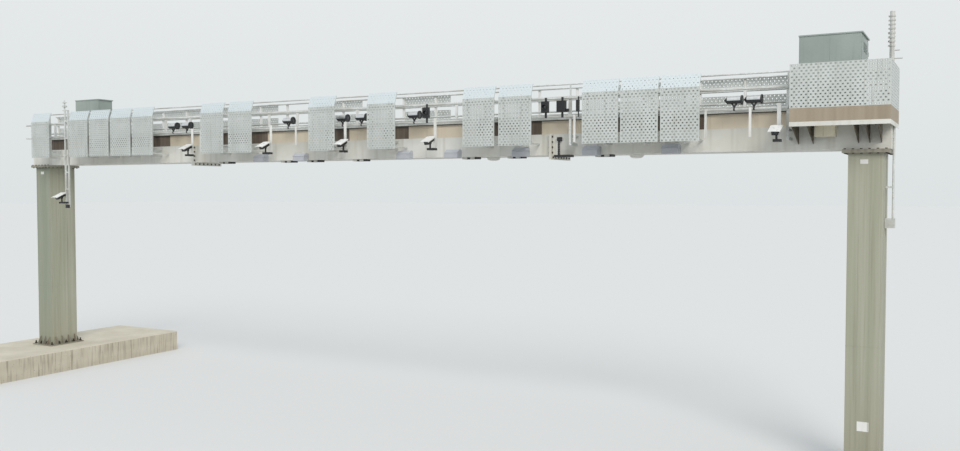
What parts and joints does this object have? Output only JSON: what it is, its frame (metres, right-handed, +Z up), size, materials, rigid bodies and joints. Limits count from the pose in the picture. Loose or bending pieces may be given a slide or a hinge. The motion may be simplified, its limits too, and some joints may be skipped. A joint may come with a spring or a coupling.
{
  "type": "free-flow toll gantry",
  "caption": "Steel portal over a road: box columns, spliced box beam with walkway, perforated shrouds, and tolling cameras on the side that faces traffic.",
  "frame": {"origin": "centre of the left foundation's underside, on the ground under the left column", "axes": "+X along the beam towards the right column, -Y faces the oncoming traffic, +Z up"},
  "size_m": [31.05, 8.6, 10.75],
  "materials": {
    "painted_steel": "satin, weathered",
    "concrete": "rough cast",
    "bolt_steel": "dark oxide",
    "galvanized_steel": "dull zinc",
    "tan_board": "matt",
    "perforated_aluminium": "matt, perforated",
    "white_cover": "smooth",
    "black_housing": "satin",
    "blue_grey_housing": "matt",
    "cabinet_paint": "satin, weathered"
  },
  "bodies": {
    "root": {"left_plinth": "concrete", "base_plates": "painted_steel", "base_ribs": "painted_steel", "anchor_bolts": "bolt_steel", "left_column": "painted_steel", "right_column": "painted_steel", "column_head_plates": "painted_steel", "beam_foot_plates": "painted_steel", "head_bolts": "bolt_steel", "left_beam": "painted_steel", "middle_beam": "painted_steel", "right_beam": "painted_steel", "splice_bolts": "bolt_steel", "walkway_grating": "galvanized_steel", "toe_boards": "tan_board", "guard_posts": "white_cover", "guard_rails": "galvanized_steel", "cable_trunking": "galvanized_steel", "rear_panels_left": "perforated_aluminium", "rear_panels_middle": "perforated_aluminium", "rear_panels_right": "perforated_aluminium", "shroud_frames": "galvanized_steel", "shrouds_1": "perforated_aluminium", "shrouds_2": "perforated_aluminium", "shrouds_3": "perforated_aluminium", "shrouds_4": "perforated_aluminium", "shrouds_5": "perforated_aluminium", "shrouds_6": "perforated_aluminium", "shrouds_7": "perforated_aluminium", "equipment_tubes": "galvanized_steel", "tube_stands": "galvanized_steel", "carrier_posts": "white_cover", "barrel_cameras": "black_housing", "hooded_cameras": "black_housing", "camera_covers": "white_cover", "floodlights": "black_housing", "scanner_boxes": "blue_grey_housing", "slot_sensors": "black_housing", "dome_sensors": "white_cover", "left_cabinet": "cabinet_paint", "right_cabinet": "cabinet_paint", "platform_floor": "painted_steel", "platform_panels": "perforated_aluminium", "platform_gussets": "painted_steel", "junction_box": "white_cover", "left_antenna": "galvanized_steel", "right_mast": "white_cover", "drop_mast": "galvanized_steel", "drop_camera": "black_housing", "end_conduits": "galvanized_steel"}
  },
  "joints": []
}
